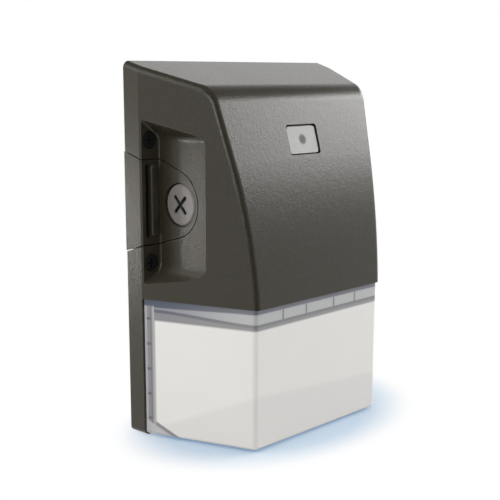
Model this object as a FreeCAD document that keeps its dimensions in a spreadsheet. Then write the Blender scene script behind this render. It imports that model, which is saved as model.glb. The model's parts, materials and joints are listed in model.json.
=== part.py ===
"""Wall pack light with a hooded die-cast housing, a frosted lens and a back box with conduit entries.

Millimetres. The origin is on the wall, in the middle of the light's height and width.
+Z is up, +Y points into the wall, and the light's front faces -Y. A "depth" is a distance
from the wall towards the front, so a depth d lies at y = -d. A "rise" is a height above the origin.
"""

import FreeCAD, Part
import math
import os
import re
import Sketcher

SIZES = [
    # housing: the outer form
    ("body_height", 184.0),
    ("body_width", 140.0),
    ("frame_depth", 10.0),
    ("frame_draft", 1.2),
    ("side_taper", 22.9),
    ("hood_depth", 66.0),
    ("lens_height", 70.0),
    ("top_slope", 16.0),
    ("front_lean", 16.0),
    ("lip_lean", 3.0),
    ("front_arc_r", 300.0),
    ("fold_r", 12.0),
    ("edge_r", 3.5),
    ("corner_r", 3.0),
    ("wall", 2.8),
    ("wall_gap", 0.5),
    # side pockets
    ("pocket_height", 66.0),
    ("pocket_foot_share", 0.26),
    ("pocket_reach", 12.25),
    ("pocket_rear", 11.2),
    ("pocket_draft", 4.54),
    ("pocket_head_angle", 37.9),
    ("pocket_foot_angle", 24.6),
    ("pocket_head_r", 5.0),
    ("pocket_foot_r", 8.0),
    ("pocket_crease_r", 1.2),
    # ears of the back box, which fill the notches in the pockets
    ("ear_r", 16.5),
    ("ear_depth", 20.2),
    ("ear_lift", 0.3),
    ("ear_top_angle", 19.2),
    ("ear_foot_angle", 17.7),
    ("parting_gap", 0.5),
    ("ear_slot_inset", 5.05),
    ("ear_slot_lift", 1.3),
    ("ear_slot_width", 2.6),
    ("ear_slot_height", 35.3),
    ("ear_slot_depth", 6.0),
    ("ear_bead_inset", 9.1),
    ("ear_bead_width", 4.8),
    ("ear_bead_rise", 1.2),
    # back box
    ("box_side_gap", 0.6431),
    ("box_wall", 2.8),
    ("box_deck_gap", 3.2),
    ("box_top_gap", 27.0),
    ("box_front_gap", 26.0),
    ("box_corner_r", 5.0),
    ("plate_thick", 3.5),
    ("plate_side_gap", 1.6),
    ("plate_lift", 45.5),
    ("wire_entry_r", 11.0),
    ("slot_drop", 20.5),
    ("slot_spacing", 86.1),
    ("slot_length", 8.2),
    ("slot_r", 2.6),
    ("wall_hole_spacing_x", 80.0),
    ("wall_hole_spacing_z", 60.0),
    ("wall_hole_r", 2.6),
    ("hub_wall", 3.0),
    ("ground_inset", 26.6),
    ("ground_lift", 10.0),
    ("ground_screw_length", 2.6),
    # conduit entries and their plugs
    ("conduit_depth", 25.0),
    ("conduit_lift", 34.02),
    ("plug_head_r", 10.2),
    ("plug_head_thick", 2.2),
    ("plug_set_back", 0.2),
    ("plug_edge", 0.8),
    ("plug_thread_r", 9.2),
    ("plug_thread_length", 7.0),
    ("plug_cross_length", 11.6),
    ("plug_cross_width", 2.0),
    ("plug_cross_depth", 1.6),
    ("plug_seal_thick", 1.0),
    ("head_gap", 0.3),
    ("thread_gap", 0.05),
    # housing screws
    ("screw_inset", 6.7),
    ("screw_lift", 0.7),
    ("screw_half_spacing", 29.7),
    ("screw_sink", 2.7),
    ("screw_r", 2.0),
    ("screw_head_r", 3.85),
    ("screw_head_thick", 2.4),
    ("screw_head_gap", 0.4),
    ("screw_hole_r", 2.25),
    ("screw_length", 6.0),
    ("housing_boss_r", 5.25),
    ("housing_boss_rear", 5.2),
    ("box_boss_r", 2.9),
    ("boss_gap", 0.3),
    ("cross_share", 0.6),
    ("cross_width", 0.9),
    # gaskets and the web that presses the box gasket
    ("gasket_thick", 2.0),
    ("wall_gasket_width", 6.0),
    ("wall_gasket_thick", 1.2),
    ("wall_gasket_edge", 2.0),
    ("web_thick", 2.5),
    # lens
    ("lens_inset", 1.0),
    ("lens_set_back", 1.4),
    ("lens_wall", 2.4),
    ("lens_gap", 0.2),
    ("lens_rise", 0.8),
    ("lens_corner_r", 3.0),
    ("lens_floor_r", 1.5),
    ("rear_flange_width", 12.0),
    ("top_flange_width", 3.4),
    ("flange_thick", 2.2),
    ("lens_gasket_thick", 1.2),
    ("lens_gasket_width", 2.8),
    ("lens_gasket_gap", 0.3),
    ("rib_thick", 1.0),
    ("rib_reach", 3.0),
    ("rib_pitch", 12.75),
    ("side_rib_count", 5),
    ("rib_x_inner", 10.2),
    ("rib_x_outer", 26.5),
    ("clear_band", 9.6),
    ("lens_screw_inset", 11.6),
    ("lens_screw_foot_gap", 12.0),
    ("lens_screw_head_gap", 18.0),
    ("lens_boss_r", 3.0),
    ("lens_boss_length", 4.0),
    # light engine
    ("board_side_gap", 1.4),
    ("board_front_gap", 11.0),
    ("board_near", 19.0),
    ("board_thick", 1.6),
    ("pad_thick", 0.5),
    ("chip_length", 3.5),
    ("chip_width", 2.8),
    ("chip_thick", 0.8),
    ("chip_side_gap", 8.6),
    ("chip_near_gap", 6.0),
    ("chip_far_gap", 12.0),
    ("chip_column_count", 8),
    ("chip_row_count", 3),
    ("board_screw_inset", 3.2),
    ("board_boss_rise", 2.0),
    ("lead_inset", 10.0),
    ("lead_front_gap", 5.0),
    ("lead_hole_r", 4.0),
    ("grommet_bore_r", 2.8),
    ("grommet_lip_r", 5.2),
    ("grommet_lip_thick", 1.2),
    ("connector_length", 10.0),
    ("connector_width", 7.0),
    ("connector_thick", 3.0),
    ("reflector_inset", 24.0),
    ("reflector_thick", 0.8),
    ("reflector_bend_r", 16.0),
    ("reflector_foot_gap", 24.0),
    ("reflector_tail", 6.0),
    # driver
    ("driver_inset", 34.0),
    ("driver_deck_gap", 16.2),
    ("driver_height", 30.0),
    ("driver_front_gap", 14.5),
    ("driver_depth", 23.5),
    ("driver_round", 2.0),
    ("tab_length", 8.0),
    ("tab_half_height", 5.0),
    ("tab_thick", 1.5),
    # small screws that hold the boards, the driver, the lens and the sensor holder
    ("m3_r", 1.5),
    ("m3_head_r", 2.8),
    ("m3_head_thick", 1.8),
    ("m3_hole_r", 1.7),
    ("m3_length", 6.0),
    ("boss_r", 3.6),
    # photocell
    ("sensor_drop", 37.7),
    ("window_width", 20.0),
    ("window_height", 13.5),
    ("window_corner_r", 1.5),
    ("window_gap", 0.8),
    ("window_set_back", 0.7),
    ("window_flange", 2.2),
    ("window_flange_thick", 1.5),
    ("window_seat_depth", 0.3),
    ("window_seal_thick", 0.8),
    ("sensor_r", 2.7),
    ("sensor_thick", 2.5),
    ("sensor_board_width", 20.0),
    ("sensor_board_height", 11.0),
    ("sensor_board_thick", 1.2),
    ("holder_half_width", 20.0),
    ("holder_height", 9.0),
    ("holder_thick", 2.0),
    ("holder_screw_x", 16.6),
    # wires
    ("wire_r", 1.1),
    ("wire_bend_r", 7.0),
    ("wire_spacing", 3.2),
    ("supply_spacing", 6.0),
    ("supply_inset", 14.0),
    ("supply_lift", 13.0),
    ("supply_run", 4.0),
    ("supply_top_gap", 15.2),
    # how far a cutter stands out of what it cuts
    ("overrun", 1.0),
]

# Places and lengths that follow from the sizes, by name. They are written out wherever a name is used.
PLACES = {
    # rises
    "roof": "body_height/2",
    "base": "-body_height/2",
    "lip": "base + lens_height",
    "deck_top": "lip + wall",
    "pocket_foot": "lip + pocket_foot_share*(roof - lip - pocket_height)",
    "pocket_head": "pocket_foot + pocket_height",
    "conduit_rise": "pocket_foot + conduit_lift",
    "ear_rise": "conduit_rise + ear_lift",
    "ear_slot_rise": "conduit_rise + ear_slot_lift",
    "screw_rise": "conduit_rise + screw_lift",
    "plate_low": "lip",
    "plate_high": "conduit_rise + plate_lift",
    "box_low": "deck_top + box_deck_gap",
    "box_high": "roof - box_top_gap",
    "slot_rise": "conduit_rise - slot_drop",
    "ground_rise": "box_low + ground_lift",
    "driver_low": "deck_top + driver_deck_gap",
    "driver_high": "driver_low + driver_height",
    "driver_middle": "driver_low + driver_height/2",
    "supply_rise": "driver_low + supply_lift",
    "supply_top": "box_high - box_wall - supply_top_gap",
    "sensor_rise": "roof - sensor_drop",
    "lens_top": "lip - lens_gap",
    "lens_base": "base + lens_rise",
    "flange_top": "lip - lens_gasket_thick",
    "lens_screw_low": "base + lens_screw_foot_gap",
    "lens_screw_high": "lip - lens_screw_head_gap",
    "board_face": "lip - pad_thick - board_thick",
    "reflector_bend_rise": "base + reflector_foot_gap",
    # distances from the middle, to either side
    "side": "body_width/2",
    "pocket_floor": "side - pocket_reach",
    "floor_at_plug": "pocket_floor - (conduit_depth - pocket_rear)*tan(pocket_draft)",
    "plug_face": "floor_at_plug - plug_set_back",
    "plug_seat": "plug_face - plug_head_thick - plug_seal_thick",
    "plug_end": "plug_seat - plug_thread_length",
    "ear_slot_x": "side - ear_slot_inset",
    "ear_bead_x": "side - ear_bead_inset",
    "screw_x": "side - screw_inset",
    "plate_half_width": "side - wall - plate_side_gap",
    "web_taper": "(web_depth - frame_depth)*tan(side_taper)",
    "room_at_web": "side - frame_draft - web_taper - wall/cos(side_taper)",
    "box_half_width": "room_at_web - box_side_gap",
    "ground_x": "ground_inset - box_half_width",
    "driver_half_width": "side - driver_inset",
    "driver_screw_x": "driver_half_width + tab_length/2",
    "supply_x": "supply_inset - driver_half_width",
    "lead_hole_x": "driver_half_width - lead_inset",
    "lens_screw_x": "side - lens_screw_inset",
    "reflector_half_width": "side - reflector_inset",
    "board_taper": "(board_far - frame_depth)*tan(side_taper)",
    "side_at_board": "side - frame_draft - board_taper - lens_inset/cos(side_taper)",
    "board_half_width": "side_at_board - lens_wall - top_flange_width - board_side_gap",
    "board_screw_x": "board_half_width - board_screw_inset",
    "chip_reach": "board_half_width - chip_side_gap",
    # depths
    "screw_seat": "pocket_rear - screw_sink",
    "box_depth": "hood_depth - box_front_gap",
    "web_depth": "box_depth + gasket_thick",
    "driver_front": "hood_depth - driver_front_gap",
    "driver_rear": "driver_front - driver_depth",
    "tab_face": "driver_front - tab_thick",
    "lens_rear": "frame_depth + lens_gap",
    "lens_seat": "frame_depth + lens_gasket_thick",
    "lens_front": "hood_depth - lens_set_back",
    "board_far": "hood_depth - board_front_gap",
    "chip_first": "board_near + chip_near_gap",
    "chip_last": "board_far - chip_far_gap",
    "lead_hole_depth": "board_far - lead_front_gap",
    # the front's arc: its middle, as y and rise
    "arc_y": "front_arc_r*cos(lip_lean) - hood_depth",
    "arc_z": "lip - front_arc_r*sin(lip_lean)",
    # behind the sloped front, from its face inwards
    "window_seat": "wall - window_seat_depth",
    "seal_back": "window_seat + window_seal_thick",
    "pane_back": "seal_back + window_flange_thick",
    "sensor_back": "pane_back + sensor_thick",
    "holder_face": "sensor_back + sensor_board_thick",
}

# how close two lengths are before they count as the same
NEAR = 1e-3

doc = FreeCAD.newDocument("wall_pack_light")
sheet = doc.addObject("Spreadsheet::Sheet", "Sizes")
for row, (name, value) in enumerate(SIZES, 1):
    sheet.set("A%d" % row, name)
    sheet.set("B%d" % row, str(value))
    sheet.setAlias("B%d" % row, name)
doc.recompute()
NAMES = {name for name, value in SIZES}


# ---- helpers -------------------------------------------------------------------------------


def cells(text):
    """The expression text with its places written out and each size's name turned into its cell."""

    def written(match):
        word = match[0]
        if word in PLACES:
            return "(%s)" % cells(PLACES[word])
        return "Sizes." + word if word in NAMES else word

    return re.sub(r"\b[a-z]\w*\b", written, str(text))


def number(text):
    """The present value of an expression of the sizes."""
    return float(sheet.evalExpression(cells(text)))


def bind(thing, prop, text):
    thing.setExpression(prop, cells(text))


def new_body(label):
    body = doc.addObject("PartDesign::Body", label)
    body.Label = label
    return body


def plane(body, role):
    return next(p for p in body.Origin.OriginFeatures if p.Role == role)


def new_sketch(body, role, offset="0"):
    """A sketch on one of the body's own planes. On XZ_Plane the offset is a depth."""
    sketch = body.newObject("Sketcher::SketchObject", body.Name + "_sketch")
    sketch.AttachmentSupport = [(plane(body, role), "")]
    sketch.MapMode = "FlatFace"
    bind(sketch, "AttachmentOffset.Base.z", offset)
    return sketch


def pin_point(sketch, segment, end, x, y):
    """Holds one point of the sketch at the place that two expressions give."""
    for text, kind, axis in ((x, "DistanceX", -2), (y, "DistanceY", -1)):
        if str(text) == "0":
            sketch.addConstraint(Sketcher.Constraint("PointOnObject", segment, end, axis))
            continue
        held = sketch.addConstraint(Sketcher.Constraint(kind, -1, 1, segment, end, number(text)))
        bind(sketch, "Constraints[%d]" % held, text)


def arc_between(start, finish, radius, centre_left):
    """The short arc between two points, and which of its ends comes first on the way."""
    chord = finish - start
    rise = math.sqrt(max(radius**2 - (chord.Length / 2) ** 2, 0.0))
    left = FreeCAD.Vector(-chord.y, chord.x, 0).normalize()
    centre = start + chord * 0.5 + left * (rise if centre_left else -rise)
    first, last = (start, finish) if centre_left else (finish, start)
    angles = [math.atan2(p.y - centre.y, p.x - centre.x) for p in (first, last)]
    if angles[1] < angles[0]:
        angles[1] += 2 * math.pi
    circle = Part.Circle(centre, FreeCAD.Vector(0, 0, 1), radius)
    return Part.ArcOfCircle(circle, *angles), (1, 2) if centre_left else (2, 1)


def outline(sketch, points, arcs=None, closed=True):
    """Lines through the points, in order. arcs gives a segment's radius and its centre's side."""
    arcs = arcs or {}
    spots = [FreeCAD.Vector(number(x), number(y), 0) for x, y in points]
    count = len(points) if closed else len(points) - 1
    made = []
    for i in range(count):
        start, finish = spots[i], spots[(i + 1) % len(spots)]
        if i in arcs:
            radius, centre_left = arcs[i]
            shape, ends = arc_between(start, finish, number(radius), centre_left)
            segment = sketch.addGeometry(shape)
            held = sketch.addConstraint(Sketcher.Constraint("Radius", segment, number(radius)))
            bind(sketch, "Constraints[%d]" % held, radius)
        else:
            segment, ends = sketch.addGeometry(Part.LineSegment(start, finish)), (1, 2)
        made.append((segment, ends))
        pin_point(sketch, segment, ends[0], *points[i])
    for i in range(count if closed else count - 1):
        (here, ends), (after, next_ends) = made[i], made[(i + 1) % count]
        sketch.addConstraint(Sketcher.Constraint("Coincident", here, ends[1], after, next_ends[0]))
    if not closed:
        pin_point(sketch, made[-1][0], made[-1][1][1], *points[-1])
    return sketch


def rectangle(sketch, x0, x1, y0, y1):
    return outline(sketch, [(x0, y0), (x1, y0), (x1, y1), (x0, y1)])


def circle(sketch, x, y, radius):
    shape = Part.Circle(FreeCAD.Vector(number(x), number(y), 0), FreeCAD.Vector(0, 0, 1), number(radius))
    segment = sketch.addGeometry(shape)
    pin_point(sketch, segment, 3, x, y)
    held = sketch.addConstraint(Sketcher.Constraint("Radius", segment, number(radius)))
    bind(sketch, "Constraints[%d]" % held, radius)
    return sketch


def circles(sketch, spots, radius):
    for x, y in spots:
        circle(sketch, x, y, radius)
    return sketch


def pad(body, sketch, length, symmetric=False, reverse=False):
    feature = body.newObject("PartDesign::Pad", body.Name + "_pad")
    feature.Profile = sketch
    feature.SideType = "Symmetric" if symmetric else "One side"
    feature.Reversed = reverse
    bind(feature, "Length", length)
    return feature


def pocket(body, sketch, length=None, symmetric=False, reverse=False):
    """Cuts a length, or through everything when no length is given."""
    before = solid_volume(body)
    feature = body.newObject("PartDesign::Pocket", body.Name + "_pocket")
    feature.Profile = sketch
    feature.SideType = "Symmetric" if symmetric else "One side"
    feature.Reversed = reverse
    if length is None:
        feature.Type = "ThroughAll"
    else:
        bind(feature, "Length", length)
    doc.recompute()
    if body.Shape.Volume > before - NEAR**2:
        raise ValueError("a pocket of %s cuts nothing" % body.Label)
    return feature


def solid_volume(body):
    doc.recompute()
    return body.Shape.Volume


def mirror(body, features, role="YZ_Plane"):
    feature = body.newObject("PartDesign::Mirrored", body.Name + "_mirrored")
    feature.Originals = features
    feature.MirrorPlane = (plane(body, role), [""])
    body.Tip = feature
    return feature


def mirror_whole(body, role="YZ_Plane"):
    """Adds the mirror image of everything that the body holds so far."""
    feature = body.newObject("PartDesign::Mirrored", body.Name + "_mirrored")
    feature.TransformMode = "Whole shape"
    feature.MirrorPlane = (plane(body, role), [""])
    body.Tip = feature
    return feature


def repeat_whole(body, axis_role, length, count="2"):
    """A row of everything that the body holds so far, along one of its own axes."""
    feature = body.newObject("PartDesign::LinearPattern", body.Name + "_row")
    feature.TransformMode = "Whole shape"
    feature.Direction = (plane(body, axis_role), [""])
    bind(feature, "Length", length)
    bind(feature, "Occurrences", count)
    body.Tip = feature
    return feature


def round_edges(body, radius, wanted, kind="PartDesign::Fillet"):
    """Fillets or chamfers the edges of the body's present shape that wanted(edge) picks."""
    doc.recompute()
    edges = ["Edge%d" % i for i, edge in enumerate(body.Shape.Edges, 1) if wanted(edge)]
    if not edges:
        raise ValueError("no edge of %s to round" % body.Label)
    base = body.Tip
    feature = body.newObject(kind, body.Name + "_round")
    feature.Base = (base, edges)
    bind(feature, "Radius" if kind.endswith("Fillet") else "Size", radius)
    return feature


def along(edge, axis):
    """True if the edge is a straight line along the axis 'x', 'y' or 'z'."""
    if not isinstance(edge.Curve, (Part.Line, Part.LineSegment)):
        return False
    step = (edge.Vertexes[1].Point - edge.Vertexes[0].Point).normalize()
    return abs(abs(getattr(step, axis)) - 1) < NEAR**2


def revolve(body, sketch, axis):
    """A full turn about the sketch's own H_Axis or V_Axis."""
    feature = body.newObject("PartDesign::Revolution", body.Name + "_turned")
    feature.Profile = sketch
    feature.ReferenceAxis = (sketch, [axis])
    feature.Angle = 360
    return feature


def joined(kind, label, shapes):
    """A boolean of whole shapes: MultiFuse or MultiCommon of a list, or Cut of two."""
    result = doc.addObject("Part::" + kind, label)
    result.Label = label
    if kind == "Cut":
        result.Base, result.Tool = shapes
    else:
        result.Shapes = shapes
    return result


# ---- the outer form, which the housing and the back box's ears share ----------------------


def front_line(inset):
    """Where the straight upper front starts, and where it meets the sloped top, set in by a wall."""
    low_y = "(arc_y - (front_arc_r - %s)*cos(front_lean))" % inset
    low_z = "(arc_z + (front_arc_r - %s)*sin(front_lean))" % inset
    top_at_wall = "(roof - %s/cos(top_slope))" % inset
    fold_z = "((%s + tan(top_slope)*(%s - tan(front_lean)*%s)) / (1 - tan(top_slope)*tan(front_lean)))" % (
        top_at_wall,
        low_y,
        low_z,
    )
    fold_y = "((%s - %s)/tan(top_slope))" % (fold_z, top_at_wall)
    return low_y, low_z, fold_y, fold_z


def hood_profile(inset):
    """The side view: sloped top, rounded fold, straight then arched front, lip, and the frame below."""
    low_y, low_z, fold_y, fold_z = front_line(inset)
    turn = "((fold_r - %s)*tan(45 - top_slope/2 - front_lean/2))" % inset
    floor = "(lip + %s)" % inset
    lip_y = "(arc_y - sqrt((front_arc_r - %s)^2 - (%s - arc_z)^2))" % (inset, floor)
    points = [
        ("0", "roof - %s/cos(top_slope)" % inset),
        ("%s + %s*cos(top_slope)" % (fold_y, turn), "%s + %s*sin(top_slope)" % (fold_z, turn)),
        ("%s - %s*sin(front_lean)" % (fold_y, turn), "%s - %s*cos(front_lean)" % (fold_z, turn)),
        (low_y, low_z),
        (lip_y, floor),
        ("%s - frame_depth" % inset, floor),
        ("%s - frame_depth" % inset, "base + %s" % inset),
        ("0", "base + %s" % inset),
    ]
    arcs = {1: ("fold_r - %s" % inset, True), 3: ("front_arc_r - %s" % inset, True)}
    return points, arcs


def half_width(depth, inset):
    """Half the outer width at a depth beyond the frame, set in by a wall."""
    return "(side - frame_draft - (%s - frame_depth)*tan(side_taper) - %s/cos(side_taper))" % (
        depth,
        inset,
    )


def hood_form(label, inset):
    """The whole outer form, set in by a wall: the side view, with both sides cut to the taper."""
    body = new_body(label)
    side_view = outline(new_sketch(body, "YZ_Plane"), *hood_profile(inset))
    pad(body, side_view, "body_width + 2*overrun", symmetric=True)
    slope = "(frame_draft/frame_depth)"
    kink = "(frame_depth - %s*(1/cos(side_taper) - 1)/(tan(side_taper) - %s))" % (inset, slope)
    far = "(hood_depth + overrun)"
    plan = [
        ("side - %s + overrun*%s" % (inset, slope), "overrun"),
        ("side - %s - %s*%s" % (inset, slope, kink), "-%s" % kink),
        (half_width(far, inset), "-%s" % far),
        ("body_width", "-%s" % far),
        ("body_width", "overrun"),
    ]
    side_cut = pocket(body, outline(new_sketch(body, "XY_Plane"), plan), symmetric=True)
    mirror(body, [side_cut])
    return body


def is_side_edge(edge):
    """An edge of the outer form where a side meets the sloped top or the front."""
    box = edge.BoundBox
    return box.YLength > NEAR and box.ZMax > number("lip") + NEAR


def is_frame_corner(edge):
    """One of the frame's two bottom corners."""
    box = edge.BoundBox
    return box.YLength > number("frame_depth/2") and box.ZMax < number("base") + NEAR


def pocket_corners(depth, grow):
    """The pocket's outline at a depth: its floor, and the two walls that flare out from it."""
    outer = "(side + 2*wall)"
    floor = "(pocket_floor - (%s - pocket_rear)*tan(pocket_draft) - %s)" % (depth, grow)
    corners = []
    walls = (("pocket_foot", "-", "pocket_foot_angle"), ("pocket_head", "+", "pocket_head_angle"))
    for edge, way, angle in walls:
        inner = "%s %s %s*(1/cos(%s) - tan(%s))" % (edge, way, grow, angle, angle)
        corners += [(floor, inner), (outer, "%s %s (%s - %s)*tan(%s)" % (inner, way, outer, floor, angle))]
    return [corners[0], corners[1], corners[3], corners[2]]


def pocket_form(label, grow):
    """Both side pockets as drafted solids, grown by a wall: one lofted, one mirrored."""
    body = new_body(label)
    depths = ("(pocket_rear - %s)" % grow, "hood_depth")
    rear, front = (outline(new_sketch(body, "XZ_Plane", y), pocket_corners(y, grow)) for y in depths)
    loft = body.newObject("PartDesign::AdditiveLoft", body.Name + "_loft")
    loft.Profile = rear
    loft.Sections = [front]
    loft.Ruled = True
    if grow == "0":
        round_edges(body, "pocket_foot_r", lambda edge: is_pocket_edge(edge, "pocket_foot"))
        round_edges(body, "pocket_head_r", lambda edge: is_pocket_edge(edge, "pocket_head"))
        round_edges(body, "pocket_crease_r", is_pocket_crease)
    mirror_whole(body)
    return body


def is_pocket_edge(edge, rise):
    """The long edge between the pocket's floor and its foot wall or head wall."""
    box = edge.BoundBox
    return box.ZLength < NEAR and box.YLength > number("wall") and abs(box.ZMin - number(rise)) < NEAR


def is_pocket_crease(edge):
    """The upright edge between a pocket's rear wall and its floor."""
    box = edge.BoundBox
    at_rear = box.YMin > -number("pocket_rear") - NEAR
    return at_rear and box.XMax < number("pocket_floor") + NEAR and box.ZLength > number("wall")


def ear_prism(label, gap, rear="0"):
    """The tongue outline of the ears, run right across the light. gap widens it for the notch."""
    body = new_body(label)
    radius = "(ear_r + %s)" % gap
    spots = []
    for angle, way in (("ear_top_angle", "+"), ("ear_foot_angle", "-")):
        y = "(-ear_depth - %s*sin(%s))" % (radius, angle)
        z = "(ear_rise %s %s*cos(%s))" % (way, radius, angle)
        far = "%s %s (%s - %s)*tan(%s)" % (z, way, rear, y, angle)
        spots.append(((y, z), (rear, far)))
    (top, top_far), (foot, foot_far) = spots
    sketch = outline(new_sketch(body, "YZ_Plane"), [top_far, top, foot, foot_far], {1: (radius, True)})
    pad(body, sketch, "body_width + 2*overrun", symmetric=True)
    return body


# ---- the housing --------------------------------------------------------------------------

BOX_RIM = ("-box_half_width", "box_half_width", "box_low", "box_high")
ROOM_HALF_WIDTH = "(box_half_width - box_wall)"
BOX_ROOM = ("-" + ROOM_HALF_WIDTH, ROOM_HALF_WIDTH, "box_low + box_wall", "box_high - box_wall")


def both_sides(x, rows):
    """The same x on the left and on the right, in every row."""
    return [(side + x, row) for row in rows for side in ("-", "")]


SCREW_SPOTS = both_sides("screw_x", ("screw_rise - screw_half_spacing", "screw_rise + screw_half_spacing"))
LENS_SCREW_SPOTS = both_sides("lens_screw_x", ("lens_screw_low", "lens_screw_high"))
DRIVER_SCREW_SPOTS = both_sides("driver_screw_x", ("driver_middle",))
BOARD_SCREW_ROWS = ("-(board_near + board_screw_inset)", "-(board_far - board_screw_inset)")
BOARD_SCREW_SPOTS = both_sides("board_screw_x", BOARD_SCREW_ROWS)
HOLDER_SCREW_SPOTS = both_sides("holder_screw_x", ("0",))
LEAD_HOLE = [("lead_hole_x", "-lead_hole_depth")]


def rods(label, role, start, spots, radius, length):
    """Round rods side by side: bosses to add, or holes to take away."""
    body = new_body(label)
    pad(body, circles(new_sketch(body, role, start), spots, radius), length)
    return body


def block(label, role, start, spread, length):
    """A straight-sided block over a rectangle of its own plane."""
    body = new_body(label)
    pad(body, rectangle(new_sketch(body, role, start), *spread), length)
    return body


def rounded_block(label, role, start, spread, length, radius, axis="y"):
    body = block(label, role, start, spread, length)
    round_edges(body, radius, lambda edge: along(edge, axis))
    return body


def on_front(body):
    """Turns the body so that its own XZ plane lies on the sloped front, centred on the photocell."""
    low_y, low_z, fold_y, fold_z = front_line("0")
    lean = FreeCAD.Rotation(FreeCAD.Vector(-1, 0, 0), number("front_lean"))
    body.Placement = FreeCAD.Placement(FreeCAD.Vector(0, 0, 0), lean)
    bind(body, "Placement.Rotation.Angle", "front_lean")
    bind(body, "Placement.Base.y", "%s + (sensor_rise - %s)*tan(front_lean)" % (low_y, low_z))
    bind(body, "Placement.Base.z", "sensor_rise")
    return body


def window_spread(grow):
    """The photocell window's rectangle, grown all round."""
    wide, tall = "(window_width/2 + %s)" % grow, "(window_height/2 + %s)" % grow
    return ("-" + wide, wide, "-" + tall, tall)


def make_outer_form():
    """The outside of the whole light with its side pockets, still solid."""
    form = hood_form("outer_form", "0")
    round_edges(form, "corner_r", is_frame_corner)
    round_edges(form, "edge_r", is_side_edge)
    return joined("Cut", "outer_with_pockets", [form, pocket_form("pocket_space", "0")])


def make_housing_ribs():
    """What stands inside the shell: the web that meets the back box, and the screw bosses."""
    web = block("housing_web", "XZ_Plane", "web_depth", ("-side", "side", "lip", "roof"), "web_thick")
    pocket(web, rectangle(new_sketch(web, "XZ_Plane", "web_depth"), *BOX_ROOM), reverse=True)
    to_front = "hood_depth - driver_front + overrun"
    bosses = rods("driver_bosses", "XZ_Plane", "driver_front", DRIVER_SCREW_SPOTS, "boss_r", to_front)
    feet = rods("board_bosses", "XY_Plane", "lip", BOARD_SCREW_SPOTS, "boss_r", "wall + board_boss_rise")
    posts = rods("holder_bosses", "XZ_Plane", "-holder_face", HOLDER_SCREW_SPOTS, "boss_r", "holder_face")
    rise = "pocket_rear - housing_boss_rear"
    seats = rods("screw_bosses", "XZ_Plane", "housing_boss_rear", SCREW_SPOTS, "housing_boss_r", rise)
    ribs = joined("MultiFuse", "housing_rib_set", [web, bosses, feet, seats, on_front(posts)])
    inside = [hood_form("rib_form", "(wall/2)"), pocket_form("rib_pockets", "(wall/2)")]
    return joined("MultiCommon", "housing_ribs", [joined("Cut", "rib_limit", inside), ribs])


def make_window_cuts():
    """The window's opening in the sloped front, the flat seat behind it and the holder's screw holes."""
    through = "wall + 2*overrun"
    gap = window_spread("window_gap")
    start = "-(wall + overrun)"
    opening = rounded_block("window_opening", "XZ_Plane", start, gap, through, "window_corner_r")
    seat = window_spread("(window_flange + window_gap)")
    flat = block("window_relief", "XZ_Plane", "-pane_back", seat, "pane_back - window_seat")
    depth = "m3_length + overrun"
    start = "-(holder_face + overrun)"
    holes = rods("holder_holes", "XZ_Plane", start, HOLDER_SCREW_SPOTS, "m3_r + thread_gap", depth)
    return [on_front(body) for body in (opening, flat, holes)]


def make_screw_cuts():
    """The through holes of the housing screws, and the sunk seats of their heads."""
    start, through = "housing_boss_rear - overrun", "screw_seat - housing_boss_rear + 2*overrun"
    holes = rods("housing_screw_holes", "XZ_Plane", start, SCREW_SPOTS, "screw_hole_r", through)
    sunk = "screw_sink + wall"
    radius = "screw_head_r + screw_head_gap"
    seats = rods("screw_seats", "XZ_Plane", "screw_seat", SCREW_SPOTS, radius, sunk)
    return [holes, seats]


def make_housing_cuts():
    """The relief at the wall, the notches for the ears and the screw and lead holes."""
    across = ("-body_width", "body_width", "-body_height", "body_height")
    rear = block("rear_relief", "XZ_Plane", "-overrun", across, "overrun + wall_gap")
    through = "wall + 2*overrun"
    start = "frame_depth - wall - overrun"
    lens = rods("lens_screw_holes", "XZ_Plane", start, LENS_SCREW_SPOTS, "m3_hole_r", through)
    thread = "m3_r + thread_gap"
    start = "driver_front - overrun"
    driver = rods("driver_holes", "XZ_Plane", start, DRIVER_SCREW_SPOTS, thread, "m3_length")
    lead = rods("lead_hole", "XY_Plane", "lip - overrun", LEAD_HOLE, "lead_hole_r", through)
    board = rods("board_holes", "XY_Plane", "lip - overrun", BOARD_SCREW_SPOTS, thread, "m3_length")
    notch = ear_prism("notch", "parting_gap", "overrun")
    cuts = [rear, lens, driver, lead, board, notch]
    return joined("MultiFuse", "housing_cuts", cuts + make_screw_cuts() + make_window_cuts())


def make_housing(outer):
    """The die-cast hood and frame: one shell, open at the wall, notched for the ears."""
    room = [hood_form("inner_form", "wall"), pocket_form("pocket_walls", "wall")]
    shell = joined("Cut", "housing_shell", [outer, joined("Cut", "housing_room", room)])
    whole = joined("MultiFuse", "housing_whole", [shell, make_housing_ribs()])
    return joined("Cut", "housing", [whole, make_housing_cuts()])


# ---- the back box and its plugs -----------------------------------------------------------


def hub_rods(label, start, radius, length):
    """A rod on the conduit axis at each side, between two distances from the middle."""
    body = rods(label, "YZ_Plane", start, [("-conduit_depth", "conduit_rise")], radius, length)
    mirror_whole(body)
    return body


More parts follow.
